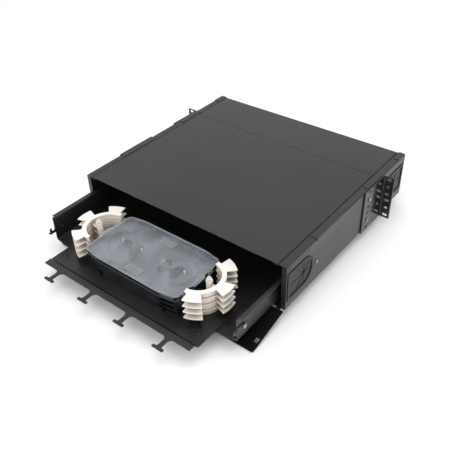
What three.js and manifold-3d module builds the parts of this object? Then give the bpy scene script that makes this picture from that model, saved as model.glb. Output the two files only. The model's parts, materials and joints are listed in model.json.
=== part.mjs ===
// A 2U rack-mount fibre termination and splice enclosure with a slide-out drawer,
// drawn with the drawer out and the front door folded down.
// Units are millimetres, +Z is up and -Y is the front. The origin is the middle of the base.
// The solids are drawn with y measured back from the chassis front; place() moves them.
import * as THREE from 'three';
import { mergeVertices } from 'three/addons/utils/BufferGeometryUtils.js';
import Module from 'manifold-3d';

// Chassis
const CHASSIS_WIDTH = 440;
const CHASSIS_DEPTH = 400;
const CHASSIS_HEIGHT = 88;
const SHEET = 1.5;
const THIN_SHEET = 1.2;
const BEND = 2;
const GAP = 0.3;
const FLANGE_STRIP = 13.3;
const LEDGE = 8.2;
const RETURN_FLANGE = 6.9;
const COVER_SEAM = 300;
const COVER_HALF = 203.9;
const TOP_TABS = [[85, 171], [256, 312], [373, 400]];
const TAB_SHEET = 0.8;
const TAB_LIP = 3.6;

// Cable ports: D-shaped, with the round side towards the middle of the chassis
const PORT_EDGE = 6;
const PORT_CENTRE = 49.5;
const PORT_RADIUS = 25.5;
const PORT_HEIGHT = 44.2;

// Rack ears, with the hole spacing of a 19-inch rack
const RACK_SPAN = 482.6;
const RACK_HOLE_SPACING = 465.1;
const RACK_HOLE_HEIGHTS = [6.35, 22.2, 38.1, 50.8, 66.7, 82.55];
const RACK_ROUND_HOLES = [22.2, 66.7];
const EAR_SHEET = 2;
const EAR_FRONT = 240;
const EAR_FACE = 310.5;

// Drawer
const DRAWER_TRAVEL = 190;
const RAIL_FRONT = 82;
const RAIL_BACK = 320;
const PAN_WALL = 203;
const PAN_FLANGE = 211;
const PAN_TOP = 54.5;
const PAN_FLOOR = 9.3;
const PAN_FRONT = -106;
const PAN_BACK = 165;
const WALL_FRONT = -102;
const FLANGE_FRONT = -96;
const CARRIER_HALF = 166.5;
const CARRIER_FLOOR = 10.8;
const STRIP_HALF = 163;
const STRIP_FRONT = -161.5;
const STRIP_BACK = -150;
const STRIP_HEIGHT = 15;
const FINGER_PITCH = 81.5;
const FINGER_TIP = -187.2;

// Splice trays and fibre guides
const TRAY_COUNT = 4;
const TRAY_PITCH = 9.2;
const TRAY_HALF_LENGTH = 102;
const TRAY_HALF_WIDTH = 58.5;
const TRAY_MIDDLE = -64.5;
const TRAY_BASE = 11.8;
const TRAY_WALL = 2;
const LID_PULL = 15;
const LID_PULL_REACH = 6.5;
const LID_PULL_OFFSET = -4;
const COMB_FINS = [-3, -2, -1, 0, 1, 2, 3];
const COMB_PITCH = 4.6;
const COMB_START = 33;
const COMB_END = 49;
const GUIDE_CENTRE = 104;
const GUIDE_BASE = 11.8;
const GUIDE_PITCH = 12.05;
const GUIDE_RADIUS = 36;
const GUIDE_REACH = 84;
const GUIDE_PLATE = 2;
const PADDLE_REACH = 59;
const POST_X = 123;
const POST_RADIUS = 2.2;
const POST_TOP = 67;

// Front door and its hinges
const HINGE_Y = -2.4;
const HINGE_Z = 1.9;
const HINGE_RADIUS = 1.9;
const HINGE_X = 209;
const DOOR_HALF = 219.7;
const DOOR_OPEN = 104.6;
const STRIKE_X = 213.5;
const STRIKE_HEIGHT = 68;

// Drawer latches
const LATCH_PIVOT_Y = -86;
const LATCH_PIVOT_Z = 30;
const LATCH_REACH = 19;
const LATCH_ANGLE = 146.4;
const LATCH_SWING = 25;
const LATCH_PIN = 2.2;

const ARC_STEPS = 8;
const BEND_STEPS = 3;
const ROUND = 16;

const wasm = await Module();
wasm.setup();

// Makes a drawn geometry into a solid that can be joined and cut.
function solid(shape) {
  if (!shape.isBufferGeometry) {
    return shape;
  }
  const plain = shape.clone();
  plain.deleteAttribute('normal');
  plain.deleteAttribute('uv');
  const welded = mergeVertices(plain, 1e-4);
  return new wasm.Manifold(new wasm.Mesh({
    numProp: 3,
    vertProperties: new Float32Array(welded.attributes.position.array),
    triVerts: new Uint32Array(welded.index.array),
  }));
}

function join(...shapes) {
  return shapes.map(solid).reduce((whole, next) => whole.add(next));
}

function cut(body, ...tools) {
  return solid(body).subtract(join(...tools));
}

function drawn(body) {
  const mesh = solid(body).getMesh();
  const geometry = new THREE.BufferGeometry();
  geometry.setAttribute('position', new THREE.BufferAttribute(new Float32Array(mesh.vertProperties), 3));
  geometry.setIndex(new THREE.BufferAttribute(new Uint32Array(mesh.triVerts), 1));
  return geometry;
}

// The same piece for the other side of the enclosure.
function mirrored(body) {
  const geometry = drawn(body).scale(-1, 1, 1);
  const index = geometry.index;
  for (let corner = 0; corner < index.count; corner += 3) {
    const swapped = index.getX(corner + 1);
    index.setX(corner + 1, index.getX(corner + 2));
    index.setX(corner + 2, swapped);
  }
  return geometry;
}

function slab(x0, x1, y0, y1, z0, z1) {
  const box = new THREE.BoxGeometry(x1 - x0, y1 - y0, z1 - z0);
  return box.translate((x0 + x1) / 2, (y0 + y1) / 2, (z0 + z1) / 2);
}

// Where an outline's own two axes and its depth point, for a push along x, y or z.
const DIRECTIONS = {
  x: [[0, 1, 0], [0, 0, 1], [1, 0, 0]],
  y: [[1, 0, 0], [0, 0, 1], [0, -1, 0]],
  z: [[1, 0, 0], [0, 1, 0], [0, 0, 1]],
};

function push(outline, axis, from, to) {
  const geometry = new THREE.ExtrudeGeometry(outline, {
    depth: to - from,
    bevelEnabled: false,
    curveSegments: ARC_STEPS,
  });
  const basis = DIRECTIONS[axis].map((direction) => new THREE.Vector3(...direction));
  geometry.applyMatrix4(new THREE.Matrix4().makeBasis(...basis));
  const start = { x: [from, 0, 0], y: [0, to, 0], z: [0, 0, from] }[axis];
  return geometry.translate(...start);
}

// A round bar along an axis; a and b are its centre in the other two directions.
function bar(axis, a, b, from, to, radius, steps = ROUND) {
  const outline = new THREE.Shape(arc(a, b, radius, 0, 360 - 360 / steps, steps - 1));
  return push(outline, axis, from, to);
}

function arc(x, y, radius, fromDegrees, toDegrees, steps = ARC_STEPS) {
  const points = [];
  for (let step = 0; step <= steps; step += 1) {
    const angle = THREE.MathUtils.degToRad(fromDegrees + (toDegrees - fromDegrees) * step / steps);
    points.push(new THREE.Vector2(x + radius * Math.cos(angle), y + radius * Math.sin(angle)));
  }
  return points;
}

// A slot with round ends along its first axis, or a round hole where its length is its width.
function slotOutline(x, y, length, width) {
  const reach = (length - width) / 2;
  if (reach === 0) {
    return new THREE.Shape(arc(x, y, width / 2, 0, 330, 11));
  }
  return new THREE.Shape([
    ...arc(x + reach, y, width / 2, -90, 90, 6),
    ...arc(x - reach, y, width / 2, 90, 270, 6),
  ]);
}

// The outline of a bent sheet, from the corners of its centreline.
function bentSheet(corners, thickness, radius = BEND) {
  const points = corners.map(([x, y]) => new THREE.Vector2(x, y));
  const left = [];
  const right = [];
  const put = (point, normal) => {
    left.push(point.clone().addScaledVector(normal, thickness / 2));
    right.unshift(point.clone().addScaledVector(normal, -thickness / 2));
  };
  const direction = (k) => points[k + 1].clone().sub(points[k]).normalize();
  const normalTo = (heading) => new THREE.Vector2(-heading.y, heading.x);
  put(points[0], normalTo(direction(0)));
  for (let k = 1; k < points.length - 1; k += 1) {
    const before = direction(k - 1);
    const after = direction(k);
    const turn = Math.atan2(before.cross(after), before.dot(after));
    const side = Math.sign(turn);
    const start = points[k].clone().addScaledVector(before, -radius * Math.tan(Math.abs(turn) / 2));
    const centre = start.clone().addScaledVector(normalTo(before), side * radius);
    for (let step = 0; step <= BEND_STEPS; step += 1) {
      const normal = normalTo(before).rotateAround(new THREE.Vector2(), turn * step / BEND_STEPS);
      put(centre.clone().addScaledVector(normal, -side * radius), normal);
    }
  }
  const last = points.length - 1;
  put(points[last], normalTo(direction(last - 1)));
  return new THREE.Shape([...left, ...right]);
}

// The D outline of a cable port, made smaller by inset; the rear ports are the front ones turned round.
function portOutline(inset, rear) {
  const round = arc(PORT_CENTRE, PORT_HEIGHT, PORT_RADIUS - inset, -90, 90, 12);
  const straight = [
    new THREE.Vector2(PORT_EDGE + inset, PORT_HEIGHT + PORT_RADIUS - inset),
    new THREE.Vector2(PORT_EDGE + inset, PORT_HEIGHT - PORT_RADIUS + inset),
  ];
  const points = [...round, ...straight];
  const turned = (point) => new THREE.Vector2(CHASSIS_DEPTH - point.x, point.y);
  return new THREE.Shape(rear ? points.map(turned) : points);
}

function portHoles(sideFrom, sideTo) {
  const tools = [];
  for (const rear of [false, true]) {
    tools.push(push(portOutline(0, rear), 'x', sideFrom, sideTo));
    for (const y of [8, 61]) {
      for (const z of [6, 80]) {
        tools.push(bar('x', rear ? CHASSIS_DEPTH - y : y, z, sideFrom, sideTo, 1.5, 8));
      }
    }
  }
  return tools;
}

function catchPinPlace() {
  const angle = THREE.MathUtils.degToRad(LATCH_ANGLE);
  return [
    LATCH_PIVOT_Y + DRAWER_TRAVEL + LATCH_REACH * Math.cos(angle),
    LATCH_PIVOT_Z + LATCH_REACH * Math.sin(angle),
  ];
}

function chassisShell() {
  const half = CHASSIS_WIDTH / 2;
  const side = half - SHEET / 2;
  const top = CHASSIS_HEIGHT - SHEET / 2;
  const stripEnd = half - FLANGE_STRIP;
  const ledgeTop = CHASSIS_HEIGHT - 2.45;
  const rightHalf = [
    [side, SHEET / 2],
    [side, top],
    [stripEnd, top],
    [stripEnd - 2.5, ledgeTop],
    [stripEnd - 2.5 - LEDGE, ledgeTop],
  ];
  const leftHalf = rightHalf.map(([x, z]) => [-x, z]).reverse();
  const tray = push(bentSheet([...leftHalf, ...rightHalf], SHEET), 'y', 0, CHASSIS_DEPTH);
  const inner = half - SHEET;
  const flangeFrom = SHEET - 0.2;
  const flangeTo = CHASSIS_HEIGHT - SHEET + 0.2;
  const rightAdditions = [
    slab(inner - RETURN_FLANGE, inner + 0.2, 0, SHEET, flangeFrom, flangeTo),
    slab(stripEnd - 0.4, inner + 0.2, CHASSIS_DEPTH - SHEET, CHASSIS_DEPTH, flangeFrom, flangeTo),
    bar('x', HINGE_Y, HINGE_Z, HINGE_X - 4, HINGE_X - 0.2, HINGE_RADIUS, 12),
    slab(HINGE_X - 4, HINGE_X - 0.2, HINGE_Y, 1, 0.01, SHEET),
  ];
  const tabTop = CHASSIS_HEIGHT + TAB_SHEET;
  for (const [from, to] of TOP_TABS) {
    rightAdditions.push(slab(stripEnd + 1.5, half - 1, from, to, CHASSIS_HEIGHT - 0.2, tabTop));
  }
  const [wrapFrom, wrapTo] = TOP_TABS[0];
  rightAdditions.push(
    slab(half - 1.2, half + TAB_SHEET, wrapFrom, wrapTo, CHASSIS_HEIGHT - 0.6, tabTop),
    slab(half - 0.2, half + TAB_SHEET, wrapFrom, wrapTo, CHASSIS_HEIGHT - TAB_LIP, CHASSIS_HEIGHT),
  );
  const ledgeEnd = stripEnd - 2.5 - LEDGE;
  const rightTools = [
    ...portHoles(inner - 1, half + 1),
    bar('x', ...catchPinPlace(), inner - 1, half + 1, LATCH_PIN + 0.4, 12),
    bar('x', HINGE_Y, HINGE_Z, HINGE_X - 5, HINGE_X, 1.25, 12),
    slab(ledgeEnd - 1, COVER_HALF + GAP, CHASSIS_DEPTH - 3.5, CHASSIS_DEPTH + 1, ledgeTop - 2, top),
  ];
  const whole = join(tray, ...rightAdditions, ...rightAdditions.map(mirrored));
  return cut(whole, ...rightTools, ...rightTools.map(mirrored));
}

function frontCover() {
  const top = CHASSIS_HEIGHT - 0.2;
  return slab(-COVER_HALF, COVER_HALF, GAP, COVER_SEAM - GAP, top - THIN_SHEET, top);
}

function rearCover() {
  const top = CHASSIS_HEIGHT - 0.2 - THIN_SHEET / 2;
  const back = CHASSIS_DEPTH - THIN_SHEET / 2;
  const corners = [[COVER_SEAM + GAP, top], [back, top], [back, SHEET + GAP]];
  return push(bentSheet(corners, THIN_SHEET, 1.4), 'x', -COVER_HALF, COVER_HALF);
}

function frontDoor() {
  const plateFrom = HINGE_Z + 2.6;
  const top = CHASSIS_HEIGHT;
  const outer = HINGE_Y - SHEET / 2;
  const inner = HINGE_Y + SHEET / 2;
  const knuckles = [-1, 1].flatMap((side) => {
    const from = side > 0 ? HINGE_X + 0.2 : -HINGE_X - 4;
    const to = side > 0 ? HINGE_X + 4 : -HINGE_X - 0.2;
    return [
      bar('x', HINGE_Y, HINGE_Z, from, to, HINGE_RADIUS, 12),
      slab(from, to, outer, inner, HINGE_Z, plateFrom + 0.5),
    ];
  });
  const plate = slab(-DOOR_HALF, DOOR_HALF, outer, inner, plateFrom, top);
  const hem = slab(-DOOR_HALF, DOOR_HALF, inner - 0.2, inner + THIN_SHEET, top - 6, top);
  const corner = (side) => new THREE.Shape([
    new THREE.Vector2(side * (DOOR_HALF - 3), top + 1),
    new THREE.Vector2(side * (DOOR_HALF + 1), top + 1),
    new THREE.Vector2(side * (DOOR_HALF + 1), top - 3),
  ]);
  const tools = [-1, 1].flatMap((side) => {
    const middle = side * (HINGE_X + 2.5);
    return [
      push(corner(side), 'y', outer - 1, inner + 2),
      bar('x', HINGE_Y, HINGE_Z, middle - 2.5, middle + 2.5, 1.25, 12),
    ];
  });
  return opened(cut(join(plate, hem, ...knuckles), ...tools));
}

// Folds a piece of the closed door down to where the hinge stops it.
function opened(body) {
  return drawn(body)
    .translate(0, -HINGE_Y, -HINGE_Z)
    .rotateX(THREE.MathUtils.degToRad(DOOR_OPEN))
    .translate(0, HINGE_Y, HINGE_Z);
}

function doorStrike() {
  const face = HINGE_Y + SHEET / 2 + GAP;
  return opened(slab(STRIKE_X - 3.2, STRIKE_X + 3.2, face, face + 0.9, STRIKE_HEIGHT - 4, STRIKE_HEIGHT + 4));
}

function doorMagnet() {
  const inner = CHASSIS_WIDTH / 2 - SHEET;
  const from = inner - RETURN_FLANGE + 0.2;
  const back = SHEET + GAP;
  return slab(from, inner - 1.6, back, back + 7, STRIKE_HEIGHT - 7, STRIKE_HEIGHT + 7);
}

function hingePin() {
  return bar('x', HINGE_Y, HINGE_Z, HINGE_X - 4.4, HINGE_X + 4.4, 0.95, 10);
}

function portGrommet(rear) {
  const wall = CHASSIS_WIDTH / 2;
  const body = push(portOutline(GAP, rear), 'x', wall - SHEET - 1.2, wall + 1.2);
  const outerLip = push(portOutline(-2.2, rear), 'x', wall + GAP, wall + 1.2);
  const innerLip = push(portOutline(-1.6, rear), 'x', wall - SHEET - 1.2, wall - SHEET - GAP);
  const outerDish = push(portOutline(2.6, rear), 'x', wall - 0.2, wall + 2);
  const centre = rear ? CHASSIS_DEPTH - PORT_CENTRE : PORT_CENTRE;
  const slits = [20, 20, 20, 27, 36, 27, 20, 20].map((reach, turn) => {
    const slit = slab(wall - 4, wall + 2, 0, reach, -0.35, 0.35);
    slit.rotateX(THREE.MathUtils.degToRad(rear ? 180 + turn * 45 : turn * 45));
    return slit.translate(0, centre, PORT_HEIGHT);
  });
  return cut(join(body, outerLip, innerLip), outerDish, ...slits);
}

function rackEar() {
  const plate = CHASSIS_WIDTH / 2 + GAP + EAR_SHEET / 2;
  const face = EAR_FACE + EAR_SHEET / 2;
  const corners = [[plate, EAR_FRONT], [plate, face], [RACK_SPAN / 2, face]];
  const body = push(bentSheet(corners, EAR_SHEET, 2.6), 'z', GAP, CHASSIS_HEIGHT - GAP);
  const holes = RACK_HOLE_HEIGHTS.flatMap((z) => {
    const round = RACK_ROUND_HOLES.includes(z);
    const onFace = round ? [6.4, 6.4] : [10.4, 6.4];
    const onPlate = round ? [9, 5] : [9, 3.4];
    return [
      push(slotOutline(RACK_HOLE_SPACING / 2, z, ...onFace), 'y', EAR_FACE - 2, EAR_FACE + 5),
      push(slotOutline(EAR_FRONT + 17, z, ...onPlate), 'x', plate - 3, plate + 3),
    ];
  });
  return cut(body, ...holes);
}

function earScrew(z) {
  const seat = CHASSIS_WIDTH / 2 + GAP + EAR_SHEET + GAP;
  const shank = bar('x', EAR_FRONT + 18, z, CHASSIS_WIDTH / 2 + GAP, seat + 0.5, 2, 12);
  const head = bar('x', EAR_FRONT + 18, z, seat, seat + 1.6, 3.3, ROUND);
  const crown = bar('x', EAR_FRONT + 18, z, seat + 1.5, seat + 2.1, 2.4, ROUND);
  return join(shank, head, crown);
}

function slideRail() {
  const web = CHASSIS_WIDTH / 2 - SHEET - GAP - THIN_SHEET / 2;
  const corners = [[207, PAN_TOP + 2.5], [web, PAN_TOP + 2.5], [web, PAN_TOP - 2.5], [207, PAN_TOP - 2.5]];
  return push(bentSheet(corners, THIN_SHEET, 1.2), 'y', RAIL_FRONT, RAIL_BACK);
}

function drawerPan() {
  const corners = [
    [-PAN_FLANGE, PAN_TOP],
    [-PAN_WALL, PAN_TOP],
    [-PAN_WALL, PAN_FLOOR],
    [PAN_WALL, PAN_FLOOR],
    [PAN_WALL, PAN_TOP],
    [PAN_FLANGE, PAN_TOP],
  ];
  const sheet = push(bentSheet(corners, THIN_SHEET), 'y', PAN_FRONT, PAN_BACK);
  const rearLip = slab(-PAN_WALL, PAN_WALL, PAN_BACK - THIN_SHEET, PAN_BACK, PAN_FLOOR, PAN_FLOOR + 15);
  const tools = [-1, 1].flatMap((side) => {
    const at = (x, y) => new THREE.Vector2(side * x, y);
    const clear = PAN_FLANGE + 4;
    const chamfer = [
      at(CARRIER_HALF, PAN_FRONT - 1),
      at(clear, PAN_FRONT - 1),
      at(clear, WALL_FRONT),
      at(PAN_WALL, WALL_FRONT),
    ];
    const flangeEnd = [
      at(PAN_WALL + 1.5, PAN_FRONT),
      at(clear, PAN_FRONT),
      at(clear, FLANGE_FRONT),
      at(PAN_WALL + 3, FLANGE_FRONT),
    ];
    const pivot = bar('x', LATCH_PIVOT_Y, LATCH_PIVOT_Z, side * PAN_WALL - 2, side * PAN_WALL + 2, 2.2, 12);
    return [
      push(new THREE.Shape(chamfer), 'z', 0, 20),
      push(new THREE.Shape(flangeEnd), 'z', PAN_TOP - 3, PAN_TOP + 3),
      pivot,
    ];
  });
  tools.push(slab(-230, 230, PAN_FRONT - 1, WALL_FRONT, PAN_FLOOR + 2, PAN_TOP + 3));
  return cut(join(sheet, rearLip), ...tools);
}

// A lever with a notch that closes on the chassis pin when the drawer is in and the lever is turned up.
function drawerLatch() {
  const inner = PAN_WALL + THIN_SHEET / 2 + 0.4;
  const outline = new THREE.Shape([
    ...arc(0, 0, 5.5, 90, 270, 10),
    new THREE.Vector2(LATCH_REACH - 2.9, -4.6),
    ...arc(LATCH_REACH, 0, 2.9, 180, 0, 8),
    new THREE.Vector2(LATCH_REACH + 2.9, -3),
    ...arc(LATCH_REACH + 5, -1, 2, -90, 0, 4),
    ...arc(LATCH_REACH + 4, 5.6, 3, 0, 90, 4),
  ]);
  const lever = push(outline, 'x', inner, inner + THIN_SHEET);
  const tab = slab(inner + 0.2, inner + 5.2, LATCH_REACH + 1, LATCH_REACH + 7, 7.4, 8.6);
  const bore = bar('x', 0, 0, inner - 1, inner + 2, 2.2, 12);
  const resting = THREE.MathUtils.degToRad(LATCH_ANGLE + LATCH_SWING);
  return drawn(cut(join(lever, tab), bore))
    .rotateX(resting)
    .translate(0, LATCH_PIVOT_Y, LATCH_PIVOT_Z);
}

function latchPivot() {
  const inner = PAN_WALL - THIN_SHEET / 2 - 0.9;
  const lever = PAN_WALL + THIN_SHEET / 2 + 0.4 + THIN_SHEET;
  const shank = bar('x', LATCH_PIVOT_Y, LATCH_PIVOT_Z, inner, lever + 0.5, 1.8, 12);
  const head = bar('x', LATCH_PIVOT_Y, LATCH_PIVOT_Z, lever + GAP, lever + 1.8, 4, ROUND);
  return join(shank, head);
}

function catchPin() {
  const place = catchPinPlace();
  const pin = bar('x', ...place, PAN_WALL + 1.4, CHASSIS_WIDTH / 2 + 1, LATCH_PIN, 12);
  const head = bar('x', ...place, CHASSIS_WIDTH / 2 + GAP, CHASSIS_WIDTH / 2 + 1.4, 3, ROUND);
  return join(pin, head);
}

// A cable finger: a stem that flares where it leaves the strip, with a cross-piece at its tip.
function fingerOutline(x) {
  const stem = 4;
  const head = 10.8;
  const headBack = FINGER_TIP + 5.5;
  const leftSide = [
    new THREE.Vector2(-stem - 7, STRIP_FRONT + 1),
    ...arc(-stem - 7, STRIP_FRONT - 7, 7, 90, 0, 5),
    ...arc(-stem - 2.5, headBack + 2.5, 2.5, 0, -90, 3),
    ...arc(-head + 1.6, headBack - 1.6, 1.6, 90, 180, 3),
    ...arc(-head + 1.6, FINGER_TIP + 1.6, 1.6, 180, 270, 3),
  ];
  const rightSide = leftSide.map((point) => new THREE.Vector2(-point.x, point.y)).reverse();
  return new THREE.Shape([...leftSide, ...rightSide].map((point) => new THREE.Vector2(x + point.x, point.y)));
}

function spliceCarrier() {
  const floor = [[PAN_BACK - 12, CARRIER_FLOOR], [STRIP_BACK + 5, CARRIER_FLOOR], [STRIP_BACK, STRIP_HEIGHT]];
  const strip = [...floor, [STRIP_FRONT, STRIP_HEIGHT]];
  const body = push(bentSheet(strip, THIN_SHEET, 1.2), 'x', -CARRIER_HALF, CARRIER_HALF);
  const under = STRIP_HEIGHT - THIN_SHEET / 2;
  const fingers = [-1.5, -0.5, 0.5, 1.5].map((place) =>
    push(fingerOutline(place * FINGER_PITCH), 'z', under, under + THIN_SHEET));
  const ends = [-1, 1].map((side) => {
    const from = side > 0 ? STRIP_HALF : -CARRIER_HALF - 1;
    const to = side > 0 ? CARRIER_HALF + 1 : -STRIP_HALF;
    return slab(from, to, STRIP_FRONT - 1, STRIP_BACK + 2, 0, 20);
  });
  const edge = TRAY_HALF_WIDTH + 1.4;
  const tabs = [-70, 70].flatMap((x) => [-1, 1].map((side) => {
    const near = TRAY_MIDDLE + side * edge;
    const far = near + side * THIN_SHEET;
    return slab(x - 7, x + 7, Math.min(near, far), Math.max(near, far), CARRIER_FLOOR, CARRIER_FLOOR + 9);
  }));
  return cut(join(body, ...fingers, ...tabs), ...ends);
}

// A splice tray's outline: long, with shallow tapers that end in round corners.
function trayOutline(grow) {
  const corner = arc(TRAY_HALF_LENGTH - 10, TRAY_HALF_WIDTH - 14, 10 + grow, 70, 0, 5);
  const quarter = [
    [TRAY_HALF_LENGTH - 35, TRAY_HALF_WIDTH + grow],
    ...corner.map((point) => [point.x, point.y]),
  ];
  const backward = [...quarter].reverse();
  const points = [
    ...quarter,
    ...backward.map(([x, y]) => [x, -y]),
    ...quarter.map(([x, y]) => [-x, -y]),
    ...backward.map(([x, y]) => [-x, y]),
  ];
  return new THREE.Shape(points.map(([x, y]) => new THREE.Vector2(x, TRAY_MIDDLE + y)));
}

function trayRim(outside, inside, from, to) {
  return cut(push(trayOutline(outside), 'z', from, to), push(trayOutline(inside), 'z', from - 1, to + 1));
}

function spliceTray(level) {
  const base = TRAY_BASE + level * TRAY_PITCH;
  const top = base + TRAY_PITCH - GAP;
  const plate = push(trayOutline(0), 'z', base, base + 1.6);
  const wall = trayRim(0, -TRAY_WALL, base, top);
  const spools = [-1, 1].map((side) => {
    const middle = side > 0 ? 0 : 180;
    const outer = arc(side * 60, TRAY_MIDDLE, 32, middle - 78, middle + 78, 10);
    const inner = arc(side * 60, TRAY_MIDDLE, 30.2, middle + 78, middle - 78, 10);
    return push(new THREE.Shape([...outer, ...inner]), 'z', base + 1, top - 1.2);
  });
  const ribs = [-1, 1].flatMap((side) => COMB_FINS.map((place) => {
    const x = place * COMB_PITCH;
    const ys = [TRAY_MIDDLE + side * COMB_START, TRAY_MIDDLE + side * COMB_END].sort((a, b) => a - b);
    return slab(x - 0.7, x + 0.7, ...ys, base + 1, base + 6);
  }));
  const holders = [-1, 1].flatMap((side) => [-46, 0, 46].map((x) => {
    const rim = TRAY_MIDDLE + side * (TRAY_HALF_WIDTH - 1);
    const reach = TRAY_MIDDLE + side * (TRAY_HALF_WIDTH - 9);
    return slab(x - 5, x + 5, Math.min(rim, reach), Math.max(rim, reach), top - 1.4, top - 0.2);
  }));
  const corners = [-1, 1].flatMap((sideX) => [-1, 1].map((sideY) => {
    const xs = [sideX * (TRAY_HALF_LENGTH - 32), sideX * (TRAY_HALF_LENGTH - 6)].sort((a, b) => a - b);
    const ys = [TRAY_MIDDLE + sideY * 46, TRAY_MIDDLE + sideY * 62].sort((a, b) => a - b);
    return slab(...xs, ...ys, base + 2.6, top - 1.4);
  }));
  const entries = cut(join(plate, wall), ...corners);
  return join(entries, ...spools, ...ribs, ...holders);
}

// The rounded finger pull at each end of the lid.
function pullOutline(side, inset) {
  const root = TRAY_HALF_LENGTH - 1;
  const quarter = [
    new THREE.Vector2(root, LID_PULL + 4 - inset),
    ...arc(root + LID_PULL_REACH - 5 - inset / 2, LID_PULL - 5, 5 - inset / 2, 70, 0, 4),
  ];
  const back = [...quarter].reverse().map((point) => new THREE.Vector2(point.x, -point.y));
  return new THREE.Shape([...quarter, ...back].map((point) =>
    new THREE.Vector2(side * point.x, TRAY_MIDDLE + LID_PULL_OFFSET + point.y)));
}

function trayLid() {
  const base = TRAY_BASE + TRAY_COUNT * TRAY_PITCH;
  const plate = push(trayOutline(0.8), 'z', base, base + 1.4);
  const bead = trayRim(0.8, -1.6, base + 1.2, base + 2.2);
  const clips = [-1, 1].flatMap((side) => [-36, 26].map((y) => {
    const xs = [side * (TRAY_HALF_LENGTH + 0.5), side * (TRAY_HALF_LENGTH + 2)].sort((a, b) => a - b);
    const middle = TRAY_MIDDLE + y;
    return slab(...xs, middle - 5, middle + 5, base - 5.5, base + 2.2);
  }));
  const pulls = [-1, 1].flatMap((side) => {
    const lip = push(pullOutline(side, 0), 'z', base + 1.2, base + 2.2);
    return [
      push(pullOutline(side, 0), 'z', base, base + 1.4),
      cut(lip, push(pullOutline(side, 1.8), 'z', base, base + 3)),
    ];
  });
  return join(plate, bead, ...clips, ...pulls);
}

// A band along the guide's curve, between two radii and two heights.
function guideBand(innerRadius, outerRadius, from, to) {
  const outer = arc(GUIDE_CENTRE, TRAY_MIDDLE, outerRadius, -GUIDE_REACH, GUIDE_REACH, 18);
  const inner = arc(GUIDE_CENTRE, TRAY_MIDDLE, innerRadius, GUIDE_REACH, -GUIDE_REACH, 18);
  return push(new THREE.Shape([...outer, ...inner]), 'z', from, to);
}

// A bend-radius guide: a curved wall under a rim with three fan-shaped paddles, on an arm from the post.
function fibreGuide(level) {
  const base = GUIDE_BASE + level * GUIDE_PITCH;
  const top = base + GUIDE_PITCH - GAP;
  const wall = guideBand(GUIDE_RADIUS + 0.8, GUIDE_RADIUS + 3.2, base, top - 1);
  const rim = guideBand(GUIDE_RADIUS - 1.5, GUIDE_RADIUS + 6, top - GUIDE_PLATE, top);
  const paddles = [-62, 0, 62].map((heading) => {
    const fan = [
      new THREE.Vector2(GUIDE_RADIUS + 2, 9),
      new THREE.Vector2(GUIDE_RADIUS + 2, -9),
      ...arc(0, 0, PADDLE_REACH, -15, 15, 5),
    ];
    const paddle = push(new THREE.Shape(fan), 'z', top - GUIDE_PLATE, top);
    return paddle
      .rotateZ(THREE.MathUtils.degToRad(heading))
      .translate(GUIDE_CENTRE, TRAY_MIDDLE, 0);
  });
  const armEnd = GUIDE_CENTRE + GUIDE_RADIUS + 2;
  const arm = slab(POST_X, armEnd, TRAY_MIDDLE - 4, TRAY_MIDDLE + 4, base, base + 2.4);
  const hub = bar('z', POST_X, TRAY_MIDDLE, base, top, 5.4, ROUND);
  const bore = bar('z', POST_X, TRAY_MIDDLE, base - 1, top + 1, POST_RADIUS + 0.5, 12);
  return cut(join(wall, rim, ...paddles, arm, hub), bore);
}

function guidePost() {
  return bar('z', POST_X, TRAY_MIDDLE, CARRIER_FLOOR + THIN_SHEET / 2 + GAP, POST_TOP, POST_RADIUS, 12);
}

function postNut() {
  const base = GUIDE_BASE + TRAY_COUNT * GUIDE_PITCH + 0.1;
  const nut = bar('z', POST_X, TRAY_MIDDLE, base, base + 4.5, 4.6, 6);
  return cut(nut, bar('z', POST_X, TRAY_MIDDLE, base - 1, base + 6, POST_RADIUS + 0.4, 12));
}

const group = new THREE.Group();
group.name = 'fiber_termination_box';

const POWDER_BLACK = { color: 0x1d1e20, roughness: 0.55, metalness: 0.3 };
const SATIN_BLACK = { color: 0x26272a, roughness: 0.5, metalness: 0.3 };
const BRIGHT_STEEL = { color: 0xb9bcc0, roughness: 0.3, metalness: 0.95 };
const GREY_RUBBER = { color: 0x2b2c2e, roughness: 0.85, metalness: 0 };
const BLACK_PLASTIC = { color: 0x14161b, roughness: 0.5, metalness: 0 };
const CLEAR_PLASTIC = { color: 0x9aa4b2, roughness: 0.15, metalness: 0 };
const IVORY_PLASTIC = { color: 0xf0ebe2, roughness: 0.45, metalness: 0 };

function place(name, body, finish) {
  const geometry = drawn(body).translate(0, -CHASSIS_DEPTH / 2, 0).toNonIndexed();
  geometry.computeVertexNormals();
  const mesh = new THREE.Mesh(geometry, new THREE.MeshStandardMaterial(finish));
  mesh.name = name;
  group.add(mesh);
}

function placePair(name, body, finish, ending = '') {
  place(`${name}_right${ending}`, body, finish);
  place(`${name}_left${ending}`, mirrored(body), finish);
}

place('chassis_shell', chassisShell(), POWDER_BLACK);
place('top_cover_front', frontCover(), POWDER_BLACK);
place('rear_cover', rearCover(), POWDER_BLACK);
place('front_door', frontDoor(), POWDER_BLACK);
placePair('hinge_pin', hingePin(), BRIGHT_STEEL);
placePair('door_strike', doorStrike(), BRIGHT_STEEL);
placePair('door_magnet', doorMagnet(), BLACK_PLASTIC);
placePair('port_grommet_front', portGrommet(false), GREY_RUBBER);
placePair('port_grommet_rear', portGrommet(true), GREY_RUBBER);
placePair('rack_ear', rackEar(), SATIN_BLACK);
placePair('ear_screw_upper', earScrew(66.7), BRIGHT_STEEL);
placePair('ear_screw_lower', earScrew(22.2), BRIGHT_STEEL);
placePair('slide_rail', slideRail(), SATIN_BLACK);
placePair('catch_pin', catchPin(), BRIGHT_STEEL);
place('drawer_pan', drawerPan(), POWDER_BLACK);
placePair('drawer_latch', drawerLatch(), BRIGHT_STEEL);
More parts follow.
